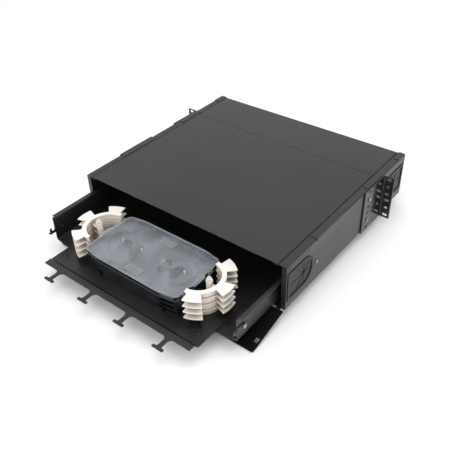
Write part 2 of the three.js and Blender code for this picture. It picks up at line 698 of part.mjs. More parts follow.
placePair('latch_pivot', latchPivot(), BRIGHT_STEEL);
place('splice_carrier', spliceCarrier(), POWDER_BLACK);
for (let level = 0; level < TRAY_COUNT; level += 1) {
  place(`splice_tray_${level + 1}`, spliceTray(level), BLACK_PLASTIC);
}
place('tray_lid', trayLid(), CLEAR_PLASTIC);
for (let level = 0; level < TRAY_COUNT; level += 1) {
  placePair('fibre_guide', fibreGuide(level), IVORY_PLASTIC, `_${level + 1}`);
}
placePair('guide_post', guidePost(), BRIGHT_STEEL);
placePair('post_nut', postNut(), BRIGHT_STEEL);

export default group;
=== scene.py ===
import json
import math

import bmesh
import bpy
from mathutils import Matrix, Vector


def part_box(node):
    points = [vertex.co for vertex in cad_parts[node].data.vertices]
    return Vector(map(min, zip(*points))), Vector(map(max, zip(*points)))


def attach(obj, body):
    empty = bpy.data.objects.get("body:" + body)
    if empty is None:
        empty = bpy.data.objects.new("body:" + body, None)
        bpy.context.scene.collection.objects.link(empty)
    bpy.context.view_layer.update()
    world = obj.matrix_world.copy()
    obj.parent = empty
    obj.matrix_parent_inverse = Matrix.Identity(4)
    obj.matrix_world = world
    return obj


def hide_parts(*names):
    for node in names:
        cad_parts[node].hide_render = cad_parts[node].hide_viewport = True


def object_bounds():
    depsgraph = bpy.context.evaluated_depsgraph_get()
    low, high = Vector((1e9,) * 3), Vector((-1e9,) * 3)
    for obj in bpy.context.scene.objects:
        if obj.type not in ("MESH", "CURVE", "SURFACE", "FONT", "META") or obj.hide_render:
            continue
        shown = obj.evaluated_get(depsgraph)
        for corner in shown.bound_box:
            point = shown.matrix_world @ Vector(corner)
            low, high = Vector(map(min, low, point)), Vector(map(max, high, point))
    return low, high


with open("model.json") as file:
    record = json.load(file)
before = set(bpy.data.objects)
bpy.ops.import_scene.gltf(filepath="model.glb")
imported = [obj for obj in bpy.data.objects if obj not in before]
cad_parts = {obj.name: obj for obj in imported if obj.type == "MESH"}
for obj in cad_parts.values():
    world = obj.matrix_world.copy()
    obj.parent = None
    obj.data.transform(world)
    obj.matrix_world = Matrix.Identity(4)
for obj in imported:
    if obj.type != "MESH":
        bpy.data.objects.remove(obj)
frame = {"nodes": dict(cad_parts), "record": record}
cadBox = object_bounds()
nodes = frame["nodes"]
bodyOf = {node: body for body, held in frame["record"]["behaviour"]["bodies"].items() for node in held}
slotOf = {part["node"]: part["material_slot"] for part in frame["record"]["subparts"]}
print("frame loaded with", len(nodes), "nodes")


# camera

camera = {
    "azimuth": 39.519,  # degrees round from the door side
    "elevation": 37.34,
    "roll": -2.117,
    "lens": 48.763,  # mm
    "sensor": 36,  # mm
    "nearest": 0.01,  # metres
    "place": (0.580286, -0.776492, 0.686609),
}


def makeCamera(look):
    turn, rise, roll = (math.radians(look[key]) for key in ("azimuth", "elevation", "roll"))
    back = Vector((math.sin(turn) * math.cos(rise), -math.cos(turn) * math.cos(rise), math.sin(rise)))
    right = Vector((math.cos(turn), math.sin(turn), 0))
    up = back.cross(right)
    across = right * math.cos(roll) + up * math.sin(roll)
    upright = up * math.cos(roll) - right * math.sin(roll)
    made = bpy.data.objects.new("camera", bpy.data.cameras.new("camera"))
    bpy.context.scene.collection.objects.link(made)
    turned = Matrix((across, upright, back)).transposed().to_4x4()
    made.matrix_world = Matrix.Translation(look["place"]) @ turned
    made.data.sensor_width = look["sensor"]
    made.data.lens = look["lens"]
    made.data.clip_start = look["nearest"]
    bpy.context.scene.camera = made


makeCamera(camera)
print("camera placed")


# a small kit for node trees

class Wire:
    def __init__(self, graph, socket):
        self.graph = graph
        self.socket = socket

    def __add__(self, other):
        return self.graph.calc("ADD", self, other)

    __radd__ = __add__

    def __sub__(self, other):
        return self.graph.calc("SUBTRACT", self, other)

    def __rsub__(self, other):
        return self.graph.calc("SUBTRACT", other, self)

    def __mul__(self, other):
        return self.graph.calc("MULTIPLY", self, other)

    __rmul__ = __mul__


class Graph:
    def __init__(self, tree):
        self.tree = tree

    def node(self, kind, settings=None, sockets=None, out=0):
        made = self.tree.nodes.new(kind)
        for key, value in (settings or {}).items():
            setattr(made, key, value)
        for key, value in (sockets or {}).items():
            for item in value if isinstance(value, list) else [value]:
                self.feed(made.inputs[key], item)
        return Wire(self, made.outputs[out])

    def feed(self, socket, value):
        if isinstance(value, Wire):
            self.tree.links.new(value.socket, socket)
        else:
            socket.default_value = value

    def calc(self, operation, *values):
        return self.node("ShaderNodeMath", {"operation": operation}, dict(enumerate(values)))


class Paint(Graph):
    def __init__(self, name, fixed):
        self.material = bpy.data.materials.new(name)
        self.material.use_nodes = True
        super().__init__(self.material.node_tree)
        self.shader = self.tree.nodes["Principled BSDF"]
        self.at = self.node("ShaderNodeTexCoord", out="Object")
        for socket, value in fixed.items():
            self.set(socket, value)

    def set(self, socket, value):
        self.feed(self.shader.inputs[socket], value)

    def noise(self, size, detail, stretch=(1, 1, 1)):
        where = self.node("ShaderNodeMapping", {}, {"Vector": self.at, "Scale": stretch})
        return self.node("ShaderNodeTexNoise", {}, {"Vector": where, "Scale": 1 / size, "Detail": detail})

    def ramp(self, value, low, high):
        sockets = {"Value": value, "From Min": low, "From Max": high}
        return self.node("ShaderNodeMapRange", {"interpolation_type": "SMOOTHSTEP"}, sockets)

    def swing(self, value, amount):  # a noise lies about 0.5, so this lies about 0
        return (value - 0.5) * amount

    def mix(self, factor, first, second):
        sockets = {0: factor, 6: first, 7: second}  # the colour sockets share their names with others
        return self.node("ShaderNodeMix", {"data_type": "RGBA"}, sockets, out=2)

    def bump(self, height, strength, distance):
        relief = {"Height": height, "Strength": strength, "Distance": distance}
        self.set("Normal", self.node("ShaderNodeBump", {}, relief))

    def edge(self):  # 1 on the faces that roundedEdges made
        return self.node("ShaderNodeAttribute", {"attribute_name": "rim"}, out="Fac")

    # ambient occlusion as a mask, for painted shade where other surfaces come near
    def recess(self, reach, shallow, deep):
        shade = self.node("ShaderNodeAmbientOcclusion", {"samples": 6}, {"Distance": reach}, "AO")
        return self.ramp(shade, shallow, deep)


def tone(red, green=None, blue=None):
    return (red, red if green is None else green, red if blue is None else blue, 1)


# finishes: a pair of numbers is where a mask starts and where it is full,
# a Swing is how much of the roughness changes, a Lift is a share of the relief

powder = {
    "dark": tone(0.012, 0.012, 0.0125),
    "light": tone(0.017, 0.017, 0.0175),
    "fleck": tone(0.05, 0.05, 0.052),
    "bare": tone(0.26, 0.26, 0.27),
    "paintedShade": tone(0.001),
    "gloss": 0.5,
    "seam": 0.0022,  # how near another sheet has to be for the painted shade to darken a seam
    "cloud": 0.16,  # metres across one patch of the texture
    "grain": 0.0007,
    "peel": 0.0045,
    "scuff": 0.02,
    "patches": (0.35, 0.65),
    "flecks": (0.64, 0.76),
    "scuffs": (0.5, 0.66),
    "creases": (0.85, 0.45),
    "fleckShare": 0.4,
    "wear": 0.5,
    "bareMetal": 0.6,
    "rough": 0.34,
    "peelSwing": 0.2,
    "cloudSwing": 0.12,
    "creaseRoughSwing": 0.4,
    "grainLift": 0.7,
    "peelLift": 0.9,
    "strength": 0.35,
    "relief": 0.00011,
}
satin = dict(
    powder,
    dark=tone(0.007, 0.007, 0.0075),
    light=tone(0.011, 0.011, 0.0115),
    fleck=tone(0.04, 0.04, 0.042),
    bare=tone(0.30, 0.30, 0.31),
    gloss=0.55,
    seam=0.0012,
    grain=0.0005,
    peel=0.007,
    rough=0.36,
    wear=0.45,
    relief=0.00009,
)
# darker and duller than the powder coat: the fibre hubs' own black, and painted shade on the door
mattAndDoorShade = dict(powder, dark=tone(0.003), light=tone(0.005), fleck=tone(0.02), gloss=0.12, rough=0.5)
glossy = dict(powder, dark=tone(0.006), light=tone(0.008), fleck=tone(0.02), rough=0.14, relief=0.00003)


def paintCoat(name, look):
    paint = Paint(name, {"Specular IOR Level": look["gloss"]})
    cloud = paint.noise(look["cloud"], detail=3.0)
    grain = paint.noise(look["grain"], detail=2.0)
    peel = paint.noise(look["peel"], detail=3.0)
    scuffs = paint.noise(look["scuff"], detail=5.0)
    body = paint.mix(paint.ramp(cloud, *look["patches"]), look["dark"], look["light"])
    flecks = paint.ramp(grain, *look["flecks"]) * look["fleckShare"]
    flecked = paint.mix(flecks, body, look["fleck"])
    worn = paint.edge() * paint.ramp(scuffs, *look["scuffs"]) * look["wear"]
    # painted shade: the colour goes nearly black in seams and creases where another sheet is near, and the
    # roughness rises there
    paintedShade = paint.recess(look["seam"], *look["creases"])
    paint.set("Base Color", paint.mix(paintedShade, paint.mix(worn, flecked, look["bare"]), look["paintedShade"]))
    paint.set("Metallic", worn * look["bareMetal"])
    uneven = paint.swing(peel, look["peelSwing"]) + paint.swing(cloud, look["cloudSwing"])
    paint.set("Roughness", look["rough"] + uneven + paintedShade * look["creaseRoughSwing"])
    height = grain * look["grainLift"] + peel * look["peelLift"]
    paint.bump(height, look["strength"], look["relief"])
    return paint.material


zinc = {
    "bright": tone(0.46, 0.47, 0.48),
    "dull": tone(0.24, 0.245, 0.255),
    "spangle": 0.004,  # metres across one crystal of the plating
    "brush": 0.0004,
    "brushStretch": (1, 12, 1),
    "stain": 0.006,
    "stains": (0.42, 0.68),
    "stainShare": 0.7,
    "rough": 0.34,
    "spangleSwing": 0.18,
    "brushSwing": 0.08,
    "strength": 0.3,
    "relief": 0.00004,
}


def paintZinc(name, look):
    paint = Paint(name, {"Metallic": 1.0})
    spangle = paint.noise(look["spangle"], detail=2.0)
    brush = paint.noise(look["brush"], detail=2.0, stretch=look["brushStretch"])
    stain = paint.ramp(paint.noise(look["stain"], detail=4.0), *look["stains"])
    paint.set("Base Color", paint.mix(stain * look["stainShare"], look["bright"], look["dull"]))
    uneven = paint.swing(spangle, look["spangleSwing"]) + brush * look["brushSwing"]
    paint.set("Roughness", look["rough"] + uneven)
    paint.bump(brush, look["strength"], look["relief"])
    return paint.material


ivory = {
    "body": tone(0.88, 0.83, 0.77),
    "shade": tone(0.34, 0.23, 0.14),
    "pale": tone(0.93, 0.91, 0.88),
    "reach": 0.014,  # how far a recess looks for a wall that shades it
    "recesses": (0.8, 0.3),
    "glow": 0.06,  # how much light passes under the surface, and how far for each colour
    "glowReach": (0.004, 0.0025, 0.0015),
    "cloud": 0.02,
    "spark": 0.0006,
    "flow": 0.006,
    "flowStretch": (1, 1, 3),
    "patches": (0.3, 0.7),
    "paleShare": 0.35,
    "rough": 0.42,
    "cloudSwing": 0.16,
    "sparkSwing": 0.1,
    "sparkLift": 0.6,
    "flowLift": 0.5,
    "strength": 0.3,
    "relief": 0.00008,
}


def paintIvory(name, look):
    paint = Paint(name, {"Subsurface Weight": look["glow"], "Subsurface Radius": look["glowReach"]})
    cloud = paint.noise(look["cloud"], detail=3.0)
    spark = paint.noise(look["spark"], detail=2.0)
    flow = paint.noise(look["flow"], detail=2.0, stretch=look["flowStretch"])
    pale = paint.ramp(cloud, *look["patches"]) * look["paleShare"]
    body = paint.mix(pale, look["body"], look["pale"])
    recess = paint.recess(look["reach"], *look["recesses"])
    paint.set("Base Color", paint.mix(recess, body, look["shade"]))
    uneven = paint.swing(cloud, look["cloudSwing"]) + paint.swing(spark, look["sparkSwing"])
    paint.set("Roughness", look["rough"] + uneven)
    height = spark * look["sparkLift"] + flow * look["flowLift"]
    paint.bump(height, look["strength"], look["relief"])
    return paint.material


trayPlastic = {
    "body": tone(0.006, 0.0065, 0.008),
    "sheen": tone(0.012, 0.013, 0.016),
    "edge": tone(0.10, 0.11, 0.13),
    "floor": tone(0.11, 0.12, 0.14),  # painted sheen: the top tray's floor is drawn paler than its walls, for light that it reflects up through the lid
    "floorHeight": 0.0016,  # above the tray's underside
    "fadeAbove": 0.0004,
    "fadeBelow": (0.0012, 0.0006),
    "cloud": 0.03,
    "spark": 0.0005,
    "patches": (0.35, 0.7),
    "edgeShare": 0.35,
    "gloss": 0.8,
    "rough": 0.24,
    "cloudSwing": 0.2,
    "strength": 0.3,
    "relief": 0.00006,
}


def paintTray(name, look):
    paint = Paint(name, {"Specular IOR Level": look["gloss"]})
    cloud = paint.noise(look["cloud"], detail=3.0)
    spark = paint.noise(look["spark"], detail=2.0)
    body = paint.mix(paint.ramp(cloud, *look["patches"]), look["body"], look["sheen"])
    # painted highlight: every rounded edge is drawn paler and bluer
    highlightedEdges = paint.mix(paint.edge() * look["edgeShare"], body, look["edge"])
    # painted sheen on the top tray's floor, faded out above and below it
    height = paint.node("ShaderNodeSeparateXYZ", {}, {"Vector": paint.at}, "Z")
    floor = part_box("splice_tray_4")[0].z + look["floorHeight"]
    lowest, full = (floor - drop for drop in look["fadeBelow"])
    floorSheenMask = paint.ramp(height, floor + look["fadeAbove"], floor) * paint.ramp(height, lowest, full)
    paint.set("Base Color", paint.mix(floorSheenMask, highlightedEdges, look["floor"]))
    paint.set("Roughness", look["rough"] + paint.swing(cloud, look["cloudSwing"]))
    paint.bump(spark, look["strength"], look["relief"])
    return paint.material


lidPlastic = {
    "body": tone(0.42, 0.45, 0.49),
    "edge": tone(0.85, 0.88, 0.92),
    "clear": 0.17,  # how much of the plastic itself shows on a flat wall
    "haze": 0.16,  # and how much more where it is hazy
    "rim": 0.74,  # and along its rounded edges, which are drawn white as a painted highlight
    "cloud": 0.035,
    "flow": 0.05,
    "patches": (0.35, 0.7),
    "rough": 0.12,
    "hazeSwing": 0.1,
    "coat": 0.3,
    "coatRough": 0.06,
    "gloss": 0.6,
    "strength": 0.1,
    "relief": 0.0004,
}


def paintLid(name, look):
    fixed = {
        "Coat Weight": look["coat"],
        "Coat Roughness": look["coatRough"],
        "Specular IOR Level": look["gloss"],
    }
    paint = Paint(name, fixed)
    haze = paint.ramp(paint.noise(look["cloud"], detail=3.0), *look["patches"])
    flow = paint.noise(look["flow"], detail=1.0)
    # painted highlight: the rounded edges are drawn nearly white and nearly opaque
    rim = paint.edge()
    paint.set("Base Color", paint.mix(rim, look["body"], look["edge"]))
    paint.set("Alpha", look["clear"] + haze * look["haze"] + rim * look["rim"])
    paint.set("Roughness", look["rough"] + haze * look["hazeSwing"])
    paint.bump(flow, look["strength"], look["relief"])
    return paint.material


rubber = {
    "dark": tone(0.012, 0.012, 0.013),
    "light": tone(0.020, 0.020, 0.021),
    "deep": tone(0.001),
    "cleft": 0.003,  # how far across a slit the painted shade reaches
    "clefts": (0.85, 0.5),
    "bloom": 0.01,
    "grain": 0.0008,
    "patches": (0.35, 0.7),
    "gloss": 0.4,
    "rough": 0.5,
    "bloomSwing": 0.25,
    "strength": 0.4,
    "relief": 0.00012,
}


def paintRubber(name, look):
    paint = Paint(name, {"Specular IOR Level": look["gloss"]})
    bloom = paint.noise(look["bloom"], detail=4.0)
    grain = paint.noise(look["grain"], detail=2.0)
    body = paint.mix(paint.ramp(bloom, *look["patches"]), look["dark"], look["light"])
    # painted shade: the rubber goes nearly black down in its slits and round its rim
    cleft = paint.recess(look["cleft"], *look["clefts"])
    paint.set("Base Color", paint.mix(cleft, body, look["deep"]))
    paint.set("Roughness", look["rough"] + paint.swing(bloom, look["bloomSwing"]))
    paint.bump(grain, look["strength"], look["relief"])
    return paint.material


# near black and dull: the painted shadow lines round the ports and in their cuts
shadowLineBlack = dict(rubber, dark=tone(0.001), light=tone(0.002), gloss=0.1)

finishes = {
    "powder_black": paintCoat("powder coat", powder),
    "satin_black": paintCoat("satin coat", satin),
    "matt_black_and_door_shade": paintCoat("matt coat", mattAndDoorShade),
    "gloss_black": paintCoat("gloss coat", glossy),
    "bright_steel": paintZinc("zinc plate", zinc),
    "guide_ivory": paintIvory("ivory plastic", ivory),
    "pin_white": paintIvory("pin plastic", dict(ivory, reach=0.0004)),
    "tray_black": paintTray("tray plastic", trayPlastic),
    "lid_clear": paintLid("lid plastic", lidPlastic),
    "grey_rubber": paintRubber("grommet rubber", rubber),
    "magnet_black": paintRubber("magnet case", rubber),
    "shadow_line_black": paintRubber("port bead rubber", shadowLineBlack),
}
print("finishes mixed")


# pressed and moulded pieces: the CAD outline with its edges rounded

softEdges = {  # metres
    "powder_black": 0.00028,
    "satin_black": 0.00022,
    "bright_steel": 0.00018,
    "guide_ivory": 0.0005,
    "tray_black": 0.0003,
    "lid_clear": 0.0007,
    "grey_rubber": 0.0002,
    "magnet_black": 0.0004,
}
shaping = {
    "weld": 1e-6,  # metres
    "flat": math.radians(0.4),  # facets that meet at less than this become one face
    "rounded": math.radians(33),  # edges that turn by more than this are rounded
    "crisp": math.radians(36),  # and by more than this stay crisp in the shading
    "segments": 2,
}
detailed = ("ear_screw", "post_nut", "guide_post")  # made below instead
# painted shade: the door is drawn in a darker copy of its black coat, for the shade under the drawer
finishOf = dict(slotOf, front_door="matt_black_and_door_shade", rack_ear_right="gloss_black", rack_ear_left="gloss_black")


def evaluated(thing):
    return bpy.data.meshes.new_from_object(thing.evaluated_get(bpy.context.evaluated_depsgraph_get()))


def newObject(name, mesh):
    made = bpy.data.objects.new(name, mesh)
    bpy.context.scene.collection.objects.link(made)
    return made


def smoothed(mesh):
    mesh.shade_smooth()
    mesh.set_sharp_from_angle(angle=shaping["crisp"])


def roundedEdges(thing, width, finish):
    thing.data.materials.clear()
    for slot in range(2):
        thing.data.materials.append(finish)
    smoothed(thing.data)
    bevel = thing.modifiers.new("edges", "BEVEL")
    bevel.harden_normals = True
    bevel.width = width
    bevel.segments = shaping["segments"]
    bevel.limit_method = "ANGLE"
    bevel.angle_limit = shaping["rounded"]
    bevel.material = 1  # the second slot marks the faces along the edges
    mesh = evaluated(thing)
    thing.modifiers.remove(bevel)
    thing.data = mesh
    rim = mesh.attributes.new("rim", "FLOAT", "FACE")
    for index, face in enumerate(mesh.polygons):
        rim.data[index].value = face.material_index
        face.material_index = 0
    mesh.materials.pop(index=1)


def finishedPiece(node):
    shape = bmesh.new()
    shape.from_mesh(nodes[node].data)
    bmesh.ops.remove_doubles(shape, verts=shape.verts, dist=shaping["weld"])
    bmesh.ops.dissolve_limit(shape, angle_limit=shaping["flat"], verts=shape.verts, edges=shape.edges)
    mesh = bpy.data.meshes.new(node + "_finished")
    shape.to_mesh(mesh)
    shape.free()
    piece = newObject(node + "_finished", mesh)
    roundedEdges(piece, softEdges[slotOf[node]], finishes[finishOf[node]])
    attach(piece, bodyOf[node])
    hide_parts(node)


for node in nodes:
    if not node.startswith(detailed):
        finishedPiece(node)
print("pressed and moulded pieces finished")


# what repeats is grown by geometry nodes

class Grower(Graph):
    def __init__(self, name, inputs):
        super().__init__(bpy.data.node_groups.new(name, "GeometryNodeTree"))
        sockets = self.tree.interface
        sockets.new_socket("Geometry", in_out="INPUT", socket_type="NodeSocketGeometry")
        for label, value in dict(inputs, Material=None).items():
            kind = {float: "Float", int: "Int", tuple: "Vector"}.get(type(value), "Material")
            made = sockets.new_socket(label, in_out="INPUT", socket_type="NodeSocket" + kind)
            if value is not None:
                made.default_value = value
        sockets.new_socket("Geometry", in_out="OUTPUT", socket_type="NodeSocketGeometry")
        self.given = self.tree.nodes.new("NodeGroupInput")
        self.result = self.tree.nodes.new("NodeGroupOutput")

    def read(self, label):
        return Wire(self, self.given.outputs[label])

    def vector(self, x, y, z):
        return self.node("ShaderNodeCombineXYZ", {}, {0: x, 1: y, 2: z})

    def cube(self, x, y, z):
        return self.node("GeometryNodeMeshCube", {}, {"Size": self.vector(x, y, z)}, "Mesh")

    def cylinder(self, sides, radius, height):
        sockets = {"Vertices": sides, "Radius": radius, "Depth": height}
        return self.node("GeometryNodeMeshCylinder", {}, sockets, "Mesh")

    def cone(self, sides, bottom, top, height):
        sockets = {"Vertices": sides, "Radius Bottom": bottom, "Radius Top": top, "Depth": height}
        return self.node("GeometryNodeMeshCone", {}, sockets, "Mesh")

    def circle(self, sides, radius):
        sockets = {"Resolution": sides, "Radius": radius}
        return self.node("GeometryNodeCurvePrimitiveCircle", {}, sockets, "Curve")

    def shifted(self, geometry, place, turn=(0, 0, 0)):
        sockets = {"Geometry": geometry, "Translation": place, "Rotation": turn}
        return self.node("GeometryNodeTransform", {}, sockets)

    def raised(self, geometry, height):
        return self.shifted(geometry, self.vector(0.0, 0.0, height))

    def joined(self, *parts):
        return self.node("GeometryNodeJoinGeometry", {}, {"Geometry": list(parts)})

    def placed(self, points, instance, rotation=None):
        sockets = {"Points": points, "Instance": instance}
        if rotation:
            sockets["Rotation"] = rotation
        return self.node("GeometryNodeInstanceOnPoints", {}, sockets)

    def finish(self, geometry):
        solid = self.node("GeometryNodeRealizeInstances", {}, {"Geometry": geometry})
        sockets = {"Geometry": solid, "Material": self.read("Material")}
        painted = self.node("GeometryNodeSetMaterial", {}, sockets)
        self.feed(self.result.inputs[0], painted)
        return self.tree


def grown(name, tree, values, finish, body, points=None, rounding=0.0):
    piece = newObject(name, points or bpy.data.meshes.new(name))
    modifier = piece.modifiers.new(tree.name, "NODES")
    modifier.node_group = tree
    given = dict(values, Material=finishes[finish])
    for item in tree.interface.items_tree:
        if item.in_out == "INPUT" and item.name in given:
            modifier[item.identifier] = given[item.name]
    mesh = evaluated(piece)
    piece.modifiers.remove(modifier)
    piece.data = mesh
    if rounding:
        roundedEdges(piece, rounding, finishes[finish])
    else:
        smoothed(mesh)
    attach(piece, body)
    return piece


def facingPoints(name, places):  # each place comes with the way that it faces
    mesh = bpy.data.meshes.new(name)
    mesh.from_pydata([place for place, facing in places], [], [])
    facing = mesh.attributes.new("facing", "FLOAT_VECTOR", "POINT")
    for index, (place, direction) in enumerate(places):
        facing.data[index].vector = direction
    return mesh


# cross-head screws: the ears', and the four that hold the carrier down

earScrews = {"Head Radius": 0.0033, "Head Height": 0.0021, "Recess": 0.0011, "Turn": 3.0, "Seed": 4}
floorScrews = {"Head Radius": 0.003, "Head Height": 0.0018, "Recess": 0.001, "Turn": 3.0, "Seed": 2}
screwHead = {
    "sides": 36,
    "skirt": 0.5,  # shares of the head's height
    "crown": 0.52,
    "shoulder": 0.97,  # shares of its radius
    "top": 0.6,
    "slotLong": 1.05,
    "slotWide": 0.26,
}
floorPlaces = {
    "aside": 0.15,  # metres to each side of the middle
    "fromBack": 0.012,
    "fromFront": 0.062,
    "sheet": 0.0012,  # the carrier's thickness
}


def facingRotation(graph):
    settings = {"data_type": "FLOAT_VECTOR"}
    facing = graph.node("GeometryNodeInputNamedAttribute", settings, {"Name": "facing"})
    aligned = graph.node("FunctionNodeAlignRotationToVector", {"axis": "Z"}, {"Vector": facing})
    sockets = {2: 0.0, 3: graph.read("Turn"), "Seed": graph.read("Seed")}  # from 0 up to Turn
    angle = graph.node("FunctionNodeRandomValue", {"data_type": "FLOAT"}, sockets, 1)
    spin = graph.node("FunctionNodeAxisAngleToRotation", {}, {"Axis": (0, 0, 1), "Angle": angle})
    sockets = {"Rotation": aligned, "Rotate By": spin}
    return graph.node("FunctionNodeRotateRotation", {"rotation_space": "LOCAL"}, sockets)


def crossScrewTree(look):
    graph = Grower("cross-head screw", earScrews)
    radius = graph.read("Head Radius")
    height = graph.read("Head Height")
    skirt = graph.cylinder(look["sides"], radius, height * look["skirt"])
    skirt = graph.raised(skirt, height * (look["skirt"] / 2))
    shoulder = radius * look["shoulder"]
    crown = graph.cone(look["sides"], shoulder, radius * look["top"], height * look["crown"])
    crown = graph.raised(crown, height * (1 - look["crown"]))
    arm = graph.cube(radius * look["slotLong"], radius * look["slotWide"], graph.read("Recess") * 2)
    arm = graph.raised(arm, height)
    other = graph.shifted(arm, (0, 0, 0), (0, 0, math.pi / 2))
    head = graph.node("GeometryNodeMeshBoolean", {"operation": "UNION"}, {1: [skirt, crown]})
    head = graph.node("GeometryNodeMeshBoolean", {"operation": "DIFFERENCE"}, {0: head, 1: [arm, other]})
    return graph.finish(graph.placed(graph.read("Geometry"), head, facingRotation(graph)))


def makeScrews(places):
    tree = crossScrewTree(screwHead)
    ears = []
    screwNodes = [node for node in nodes if node.startswith("ear_screw")]
    for node in screwNodes:
        low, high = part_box(node)
        side = 1 if high.x > 0 else -1
        outer = max(abs(low.x), abs(high.x))
        seat = outer - earScrews["Head Height"]
        ears.append(((side * seat, (low.y + high.y) / 2, (low.z + high.z) / 2), (side, 0, 0)))
    heads = grown("ear_screw_heads", tree, earScrews, "bright_steel", "chassis", facingPoints("ears", ears))
    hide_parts(*screwNodes)

    low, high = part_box("splice_carrier")
    floor = low.z + places["sheet"]
    columns = (-places["aside"], places["aside"])
    rows = (high.y - places["fromBack"], low.y + places["fromFront"])
    corners = [((x, y, floor), (0, 0, 1)) for x in columns for y in rows]
    grown("carrier_screws", tree, floorScrews, "satin_black", "drawer", facingPoints("floor", corners))


makeScrews(floorPlaces)
print("screws turned in")


# painted shadow lines: dark tubes round the cable ports' rims and along the cuts between their rubber
# fingers, where only shade falls

portShadowLine = {"Radius": 0.0008, "Sides": 8}
fingerCutShadow = {"Radius": 0.0005, "Sides": 6}
portShape = {
    "rim": 0.0048,  # from the grommet's outer edge in to its dished middle
    "sunk": 0.0010,  # how deep the painted shadow lines lie
    "dish": 0.0014,  # and how deep the middle lies
    # how far each cut reaches, going round evenly from the one towards the round end
    "cuts": [0.0196, 0.0196, 0.0196, 0.0266, 0.0356, 0.0266, 0.0196, 0.0196],
    "steps": 20,  # along the round end
}


def shadowLineTree():
    graph = Grower("port bead", portShadowLine)
    section = graph.circle(graph.read("Sides"), graph.read("Radius"))
    route = graph.node("GeometryNodeMeshToCurve", {}, {"Mesh": graph.read("Geometry")})
    sockets = {"Curve": route, "Profile Curve": section, "Fill Caps": True}
    return graph.finish(graph.node("GeometryNodeCurveToMesh", {}, sockets))


def routeMesh(name, routes):
    mesh = bpy.data.meshes.new(name)
    points = []
    edges = []
    for route, closed in routes:
        first = len(points)
        points += route
        edges += [(first + step, first + step + 1) for step in range(len(route) - 1)]
        if closed:
            edges.append((len(points) - 1, first))
    mesh.from_pydata(points, edges, [])
    return mesh


def portRoutes(node, look):
    low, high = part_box(node)
    side = 1 if high.x > 0 else -1
    outer = max(abs(low.x), abs(high.x))
    ahead = -1 if "rear" in node else 1  # the round end points at the enclosure's middle
    middle = Vector((0, (low.y + high.y) / 2, (low.z + high.z) / 2))
    half = (high.z - low.z) / 2
    length = high.y - low.y
    centre = middle + Vector((0, ahead * (length / 2 - half), 0))

    def point(depth, reach, turn):
        across = ahead * reach * math.cos(turn)
        return (side * (outer - depth), centre.y + across, centre.z + reach * math.sin(turn))

    def outline(inset):
        reach = half - inset
        turns = [math.pi * (step / look["steps"] - 0.5) for step in range(look["steps"] + 1)]
        curve = [point(look["sunk"], reach, turn) for turn in turns]
        x = curve[0][0]
        end = middle.y - ahead * (length / 2 - inset)
        return curve + [(x, end, centre.z + reach), (x, end, centre.z - reach)], True

    cuts = []
    for index, reach in enumerate(look["cuts"]):
        turn = index * 2 * math.pi / len(look["cuts"])
        cuts.append(([point(look["dish"], 0.0, 0.0), point(look["dish"], reach, turn)], False))
    return [outline(0.0), outline(look["rim"])], cuts


def makePorts():
    shadowLines = []
    cuts = []
    for node in nodes:
        if node.startswith("port_grommet"):
            around, across = portRoutes(node, portShape)
            shadowLines += around
            cuts += across
    tree = shadowLineTree()
    grown("port_shadow_lines", tree, portShadowLine, "shadow_line_black", "chassis", routeMesh("shadowLines", shadowLines))
    grown("finger_cut_shadows", tree, fingerCutShadow, "shadow_line_black", "chassis", routeMesh("cuts", cuts))


makePorts()
print("ports edged")


# hexagon nuts on the guide posts

guideNut = {"Across": 0.0078, "Height": 0.0038, "Bore": 0.0023}
nutShape = {
    "rounding": 0.0003,  # metres
    "boreSides": 32,
    "chamferSides": 48,
    "chamferBottom": 1.55,  # shares of the nut's half width
    "chamferTop": 0.84,
    "chamferHeight": 1.02,  # share of the nut's height
}


def hexNutTree(look):
    graph = Grower("hexagon nut", guideNut)
    height = graph.read("Height")
    reach = graph.read("Across") * 0.5
    block = graph.cylinder(6, reach, height)
    bottom = reach * look["chamferBottom"]
    top = reach * look["chamferTop"]
    chamfer = graph.cone(look["chamferSides"], bottom, top, height * look["chamferHeight"])
    chamfer = graph.raised(chamfer, height * -0.5)
    bore = graph.cylinder(look["boreSides"], graph.read("Bore"), height * 2)
    nut = graph.node("GeometryNodeMeshBoolean", {"operation": "INTERSECT"}, {1: [block, chamfer]})
    nut = graph.node("GeometryNodeMeshBoolean", {"operation": "DIFFERENCE"}, {0: nut, 1: bore})
    return graph.finish(graph.placed(graph.read("Geometry"), nut))


def makeNuts(look):
    nutNodes = [node for node in nodes if node.startswith("post_nut")]
    middles = [sum(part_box(node), Vector()) / 2 for node in nutNodes]
    points = facingPoints("nuts", [(tuple(middle), (0, 0, 1)) for middle in middles])
    tree = hexNutTree(look)
    nuts = grown("post_nuts", tree, guideNut, "guide_ivory", "drawer", points, look["rounding"])
    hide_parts(*nutNodes)


makeNuts(nutShape)
print("nuts set")


# threaded nylon posts that the guides are stacked on

guidePost = {
    "Radius": 0.0021,
    "Height": 0.0553,
    "Pitch": 0.0014,
    "Thread": 0.16,  # share of the radius that the thread is cut in by
    "Tip": 0.006,
    "Narrowing": 0.45,  # share of the radius that the tip loses
    "Segments": 320,
    "Sides": 20,
}


